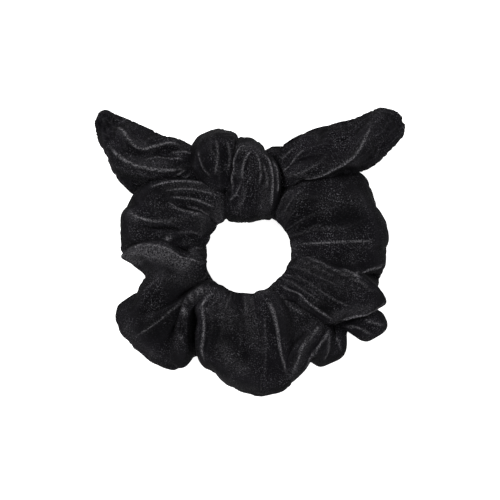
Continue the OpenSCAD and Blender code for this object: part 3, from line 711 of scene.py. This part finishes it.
class Nodes:
    """Short ways to add and link shader nodes."""

    def __init__(self, name):
        """A new material whose patterns follow the object's own coordinates."""
        self.material = bpy.data.materials.new(name)
        self.material.use_nodes = True
        self.tree = self.material.node_tree
        self.shader = next(n for n in self.tree.nodes if n.type == "BSDF_PRINCIPLED")
        self.at = self.add("ShaderNodeTexCoord").outputs["Object"]

    def fill(self, node, **inputs):
        """Sets the inputs of a node and returns it; an underscore stands for a space."""
        for key, value in inputs.items():
            node.inputs[key.replace("_", " ")].default_value = value
        return node

    def add(self, kind, **inputs):
        """A new node with the given inputs."""
        return self.fill(self.tree.nodes.new(kind), **inputs)

    def link(self, a, b):
        """Links an output to an input."""
        self.tree.links.new(a, b)

    def noise(self, scale, detail=2.0, rough=0.5):
        """Output of a noise pattern."""
        node = self.add("ShaderNodeTexNoise", Scale=scale, Detail=detail, Roughness=rough)
        self.link(self.at, node.inputs["Vector"])
        return node.outputs["Fac"]

    def ramp(self, fac, stops):
        """Colour of a ramp through (place, colour) stops."""
        node = self.tree.nodes.new("ShaderNodeValToRGB")
        elements = node.color_ramp.elements
        while len(elements) < len(stops):
            elements.new(0.5)
        for element, (place, colour) in zip(elements, stops):
            element.position = place
            element.color = (*colour, 1)
        self.link(fac, node.inputs["Fac"])
        return node.outputs["Color"]

    def mix(self, fac, a, b, kind="MIX"):
        """Mix of two colours, each an output or a tuple; fac is a number or an output."""
        node = self.tree.nodes.new("ShaderNodeMix")
        node.data_type = "RGBA"
        node.blend_type = kind
        sockets = [s for s in node.inputs if s.type == "RGBA"]
        for source, socket in ((a, sockets[0]), (b, sockets[1])):
            if isinstance(source, tuple):
                socket.default_value = (*source, 1)
            else:
                self.link(source, socket)
        if isinstance(fac, float):
            node.inputs["Factor"].default_value = fac
        else:
            self.link(fac, node.inputs["Factor"])
        return next(s for s in node.outputs if s.type == "RGBA")

    def bump(self, height, strength, distance, under=None):
        """Normal of a bump, on top of another one if under is given."""
        node = self.add("ShaderNodeBump", Strength=strength, Distance=distance)
        self.link(height, node.inputs["Height"])
        if under is not None:
            self.link(under, node.inputs["Normal"])
        return node.outputs["Normal"]


def velvet():
    """Black velvet: a dark pile, brushed in patches, with painted sheen in its colour, paler on mid slopes
    and along crests and brushed patches, and painted shade darkening its grazing rims."""
    n = Nodes("black_velvet")
    brushed = n.ramp(n.noise(70, 3, 0.55),
                     [(0.35, (0.0019, 0.0019, 0.0022)), (0.68, (0.0035, 0.0033, 0.0042))])
    where = n.ramp(n.noise(110, 2, 0.5), [(0.38, (0.1, 0.1, 0.1)), (0.64, (1, 1, 1))])
    tips = n.ramp(n.noise(2100, 2, 0.85), [(0.585, (0, 0, 0)), (0.65, (0.086, 0.084, 0.093))])
    pile = n.mix(1.0, brushed, n.mix(1.0, tips, where, "MULTIPLY"), "ADD")
    slope = n.add("ShaderNodeLayerWeight", Blend=0.5).outputs["Facing"]
    # painted sheen: paler where the surface is seen at a mid slope
    painted_slope_sheen = n.ramp(slope, [(0.04, (0, 0, 0)), (0.3, (0.0036, 0.0034, 0.0041)), (0.6, (0, 0, 0))])
    # painted sheen: bright grainy lines along crests and patches, read from the mesh attribute
    sheen_mask = n.add("ShaderNodeAttribute")
    sheen_mask.attribute_name = "sheen_mask"
    sheen_colour = n.ramp(n.noise(1900, 3, 0.7), [(0.42, (0.004, 0.004, 0.0044)), (0.62, (0.17, 0.165, 0.176))])
    painted_sheen = n.mix(sheen_mask.outputs["Fac"], (0.0, 0.0, 0.0), sheen_colour)
    # the pile's own tone with the painted sheen added on slopes and along crests
    pile = n.mix(1.0, n.mix(1.0, pile, painted_slope_sheen, "ADD"), painted_sheen, "ADD")
    # painted shade: darker towards the grazing rims
    painted_rim_shade = n.ramp(slope, [(0.32, (1, 1, 1)), (0.85, (0.15, 0.15, 0.15))])
    n.link(n.mix(1.0, pile, painted_rim_shade, "MULTIPLY"), n.shader.inputs["Base Color"])
    coarse = n.bump(n.noise(420, 2, 0.6), 0.3, 0.0005)
    n.link(n.bump(n.noise(1900, 2, 0.7), 0.5, 0.0004, coarse), n.shader.inputs["Normal"])
    n.fill(n.shader, Roughness=0.9, Specular_IOR_Level=0.02, Sheen_Weight=0.02, Sheen_Roughness=0.35,
           Sheen_Tint=(0.86, 0.84, 0.95, 1))
    return n.material


def elastic_braid():
    """Black braided elastic: fine ribs along the band."""
    n = Nodes("elastic_braid")
    n.link(n.ramp(n.noise(900, 2), [(0.3, (0.008, 0.008, 0.008)), (0.7, (0.02, 0.02, 0.021))]),
           n.shader.inputs["Base Color"])
    wave = n.add("ShaderNodeTexWave", Scale=260.0, Distortion=1.2)
    wave.bands_direction = "Z"
    n.link(n.at, wave.inputs["Vector"])
    n.link(n.bump(wave.outputs["Fac"], 0.7, 0.0004), n.shader.inputs["Normal"])
    n.fill(n.shader, Roughness=0.75)
    return n.material


def spun_thread():
    """Black spun polyester thread with a twist."""
    n = Nodes("spun_thread")
    n.link(n.ramp(n.noise(3000, 1), [(0.3, (0.003, 0.003, 0.0034)), (0.7, (0.008, 0.008, 0.009))]),
           n.shader.inputs["Base Color"])
    n.link(n.bump(n.noise(4200, 1), 0.5, 0.0002), n.shader.inputs["Normal"])
    n.fill(n.shader, Roughness=0.7, Specular_IOR_Level=0.1, Sheen_Weight=0.02)
    return n.material


VELVET = velvet()
ELASTIC = elastic_braid()
THREAD = spun_thread()


def dress(piece, material):
    """Gives a piece its only material."""
    piece.data.materials.clear()
    piece.data.materials.append(material)
    return piece


# ---------------------------------------------------------------- the pieces


def cover_grip(v):
    """The cover is sewn round the elastic at its inner edge and keeps its outline at its outer edge."""
    return np.maximum(smoothstep((0.2 - v) / 0.08), np.maximum(0.85 * smoothstep((v - 0.86) / 0.1), 0.03))


def strip_grip(v):
    """A strip keeps both its edges."""
    return np.maximum(smoothstep((abs(2 * v - 1) - 0.75) / 0.2), 0.05)


def stretch_with_ring(piece, *nodes):
    """The piece stands for the nodes, which are hidden; its transform is baked into its mesh."""
    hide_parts(*nodes)
    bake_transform(piece)


def ring_point(radius, turn, z):
    """A point at a turn round the ring."""
    return radius * math.cos(turn), radius * math.sin(turn), z


def cover():
    """The gathered velvet tube, as one closed piece over both halves of the ring."""
    grid = surface(COVER_RIBS, COVER_COLUMNS, COVER_ROWS, True)
    half = half_gap(grid.shape, COVER_HALF)
    piece = ply_mesh("velvet_cover", grid, half, True, COVER_CREASES, gather_wrinkle, cover_grip)
    dress(piece, VELVET)
    stretch_with_ring(piece, "cover_upper", "cover_lower")
    return piece


def strip(name, ribs, halves, closed, creases, wrinkle, thinner=None):
    """A stretch of the bow's strip through its ribs: its middle grid and its piece. thinner gives the share
    of its thickness that is left at each point of the grid."""
    columns = (len(ribs) if closed else len(ribs) - 1) * STRIP_STEPS + (0 if closed else 1)
    grid = surface(ribs, columns, STRIP_ROWS, closed)
    half = half_gap(grid.shape, halves)
    if thinner is not None:
        half = half * thinner(grid)
    piece = ply_mesh(name, grid, half, closed, creases, wrinkle, strip_grip)
    return grid, dress(piece, VELVET)


def inside_opening(grid):
    """Share of the winding's thickness that is left where it is pressed flat against the opening's wall."""
    out = np.linalg.norm(grid[..., :2], axis=2)
    return 0.45 + 0.55 * smoothstep((out / MM - 16) / 6)


def bend_with_ear(piece, body, way):
    """Bakes the piece's transform into its mesh; the way out across the ear's hinge is found but not used,
    and the cloth is not bent.
    """
    joint = next(j for j in frame["joints"] if j["child"] == body)
    out = Vector(joint["axis"]).cross(Vector((0, 0, 1)))
    out = out if out.x * way > 0 else -out
    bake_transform(piece)


def ear(side, ribs, creases, way, seed):
    """One ear of the bow and the seam along its edge. way is the ear's direction along X."""
    body, node, seam_node = f"{side}_ear", f"bow_{side}_ear", f"{side}_ear_seam"
    grid, piece = strip(f"{node}_cloth", ribs, EAR_HALF, False, creases, soft_wrinkle(0.7, 7, 3, seed))
    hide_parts(node)
    bend_with_ear(piece, body, way)
    seam = thread(f"{seam_node}_thread", [grid[STRIP_STEPS:, -2]])
    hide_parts(seam_node)
    bend_with_ear(seam, body, way)


def thread(name, paths):
    """Sewing thread along each path, as round tubes in one mesh."""
    points, faces = [], []
    for path in paths:
        along = np.gradient(path, axis=0)
        along /= np.linalg.norm(along, axis=1, keepdims=True)
        side = np.cross(along, (0.0, 0.0, 1.0))
        side /= np.linalg.norm(side, axis=1, keepdims=True)
        rise = np.cross(side, along)
        first = len(points)
        for spot, a, b in zip(path, side, rise):
            for k in range(THREAD_SIDES):
                turn = 2 * math.pi * k / THREAD_SIDES
                points.append(spot + THREAD_R * (math.cos(turn) * a + math.sin(turn) * b))
        faces += [[first + k for k in face] for face in loop_faces(len(path), THREAD_SIDES, False)]
        faces.append([first + k for k in range(THREAD_SIDES)][::-1])
        faces.append([len(points) - THREAD_SIDES + k for k in range(THREAD_SIDES)])
    return dress(new_piece(name, points, faces), THREAD)


def room_inside(tree, radii, turns):
    """Lowest and highest clear height inside the cover at each turn round the ring, over the radii."""
    low, high = np.full(len(turns), -np.inf), np.full(len(turns), np.inf)
    for radius in radii:
        for i, turn in enumerate(turns):
            spot = Vector(ring_point(radius, turn, 0))
            low[i] = max(low[i], tree.ray_cast(spot - PROBE, PROBE)[0].z)
            high[i] = min(high[i], tree.ray_cast(spot + PROBE, -PROBE)[0].z)
    return low + INSIDE_CLEAR, high - INSIDE_CLEAR


def long_seam(tree):
    """Running stitches that join the tube's long edges, inside it, on top of the elastic."""
    paths = []
    for k in range(LONG_SEAM_STITCHES):
        turn = (k + np.linspace(0.12, 0.88, 5)) * 2 * math.pi / LONG_SEAM_STITCHES
        top = room_inside(tree, (LONG_SEAM_R,), turn)[1]
        rise = np.minimum(LONG_SEAM_Z, top) + LONG_SEAM_ARCH * np.sin(np.linspace(0, math.pi, 5))
        paths.append(np.array([ring_point(LONG_SEAM_R, *spot) for spot in zip(turn, rise)]))
    stretch_with_ring(thread("long_seam_stitches", paths), "long_seam_upper", "long_seam_lower")


def closing_seam(tree):
    """Stitches down the groove where the tube's two ends meet, above and below."""
    paths = []
    for way in (-1, 1):
        for k in range(CLOSING_STITCHES):
            share = (k + np.linspace(0.2, 0.8, 5)) / CLOSING_STITCHES
            path = []
            for at in share:
                x = np.interp(at, CLOSING_AT, CLOSING_X)
                y = CLOSING_Y[0] + (CLOSING_Y[1] - CLOSING_Y[0]) * at
                hit = tree.ray_cast(Vector((x, y, 0)) - way * PROBE, way * PROBE)[0]
                path.append((x, y, hit.z + way * THREAD_SINK))
            paths.append(np.array(path))
    stretch_with_ring(thread("closing_seam_stitches", paths), "closing_seam")


def elastic(tree):
    """Flat braided band: a ring with ribs along its length and rounded selvedges, which lies inside the
    cover and rises, dips and narrows where the gathered cloth does."""
    section = []
    low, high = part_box("elastic_upper")
    outer_r = -low.x
    half_w = (high.z - low.z) / 2
    for way in (1, -1):
        for k in range(ELASTIC_RIBS * ELASTIC_RIB_STEPS + 1):
            share = k / (ELASTIC_RIBS * ELASTIC_RIB_STEPS)
            z = way * half_w * (1 - 2 * share)
            rib = ELASTIC_RIB_H * abs(math.sin(math.pi * share * ELASTIC_RIBS))
            edge = math.sqrt(max(0.0, 1 - abs(2 * share - 1) ** 12))
            section.append((outer_r - ELASTIC_T / 2 + way * edge * (ELASTIC_T / 2 - ELASTIC_RIB_H + rib), z))
    section = [p for i, p in enumerate(section) if p != section[i - 1]]
    count, around = len(section), ELASTIC_STEPS
    turns = 2 * math.pi * np.arange(around) / around
    low, high = room_inside(tree, (outer_r - ELASTIC_T, outer_r), turns)
    half = np.minimum(half_w, (high - low) / 2)
    middle = np.clip(0, low + half, high - half)
    half, middle = (sum(np.roll(values, k) for k in (-1, 0, 1)) / 3 for values in (half, middle))
    points = [
        ring_point(r, turn, centre + z * share)
        for turn, centre, share in zip(turns, middle, half / half_w) for r, z in section
    ]
    band = new_piece("elastic_band", points, loop_faces(around, count, True))
    stretch_with_ring(dress(band, ELASTIC), "elastic_upper", "elastic_lower")


def bar_tack(tree):
    """Stitches through the elastic where its ends lap, above and below by turns."""
    low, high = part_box("elastic_stitches")
    radii = np.linspace(-high.y, -low.y, 4)
    spread = math.asin(high.x / -low.y)
    paths = []
    for k in range(TACK_STITCHES):
        turn = spread * (2 * k / (TACK_STITCHES - 1) - 1) - math.pi / 2
        bottom, top = room_inside(tree, radii, [turn])
        z = np.clip(high.z if k % 2 else low.z, bottom[0], top[0])
        paths.append(np.array([ring_point(r, turn, z) for r in radii]))
    stretch_with_ring(thread("elastic_bar_tack", paths), "elastic_stitches")


cloth = cover()
bpy.context.view_layer.update()
inside = BVHTree.FromObject(cloth, bpy.context.evaluated_depsgraph_get())
elastic(inside)
bar_tack(inside)
long_seam(inside)
closing_seam(inside)
winding = strip("bow_winding", WINDING_RIBS, WINDING_HALF, True, WINDING_CREASES,
                soft_wrinkle(0.5, 4, 6, 2.0), inside_opening)[1]
fold = strip("bow_fold", FOLD_RIBS, FOLD_HALF, False, FOLD_CREASES, soft_wrinkle(0.8, 3, 2, 5.0))[1]
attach(winding, "root")
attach(fold, "root")
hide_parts("bow_knot")
ear("left", LEFT_EAR_RIBS, LEFT_EAR_CREASES, -1, 11.0)
ear("right", RIGHT_EAR_RIBS, RIGHT_EAR_CREASES, 1, 17.0)

# ---------------------------------------------------------------- stage, light and camera

# The frame is this wide at the height of the ruffles' edges
VIEW_WIDTH = 0.2
VIEW_Z = -0.005
FLOOR_GLOW = 0.8
VIEW_MIDDLE = (0.0008, 0.0024)
LENS, SENSOR = 100, 36


def stage():
    """Plain white floor, which glows a little so that it carries no shadow."""
    size = 1.5
    mesh = bpy.data.meshes.new("floor")
    corners = [(x * size, y * size, FLOOR_Z) for x, y in ((-1, -1), (1, -1), (1, 1), (-1, 1))]
    mesh.from_pydata(corners, [], [(0, 1, 2, 3)])
    floor = bpy.data.objects.new("floor", mesh)
    bpy.context.scene.collection.objects.link(floor)
    n = Nodes("pale_floor")
    n.fill(n.shader, Base_Color=(0.93, 0.93, 0.93, 1), Roughness=1.0, Specular_IOR_Level=0.0,
           Emission_Color=(1, 1, 1, 1), Emission_Strength=FLOOR_GLOW)
    mesh.materials.append(n.material)


def light(name, place, size, power, aim=(0, 0, 0)):
    """Round soft light at a place, turned to its aim."""
    data = bpy.data.lights.new(name, "AREA")
    data.shape = "DISK"
    data.size = size
    data.energy = power
    lamp = bpy.data.objects.new(name, data)
    lamp.location = place
    lamp.rotation_euler = (Vector(place) - Vector(aim)).to_track_quat("Z", "Y").to_euler()
    bpy.context.scene.collection.objects.link(lamp)


def studio():
    """White surroundings with a key light from the upper left and a weaker fill light opposite."""
    world = bpy.data.worlds.new("studio")
    world.use_nodes = True
    background = world.node_tree.nodes["Background"].inputs
    background["Color"].default_value = (1, 1, 1, 1)
    background["Strength"].default_value = 0.6
    bpy.context.scene.world = world
    light("key_softbox", (-0.5, 0.4, 0.9), 0.5, 9)
    light("fill_softbox", (0.6, -0.3, 0.8), 0.8, 3)
    bpy.context.scene.view_settings.view_transform = "Standard"


def camera():
    """Camera straight above the object, as in the photo."""
    data = bpy.data.cameras.new("camera")
    data.lens, data.sensor_width = LENS, SENSOR
    view = bpy.data.objects.new("camera", data)
    view.location = (*VIEW_MIDDLE, VIEW_Z + VIEW_WIDTH * LENS / SENSOR)
    bpy.context.scene.collection.objects.link(view)
    bpy.context.scene.camera = view


stage()
studio()
camera()
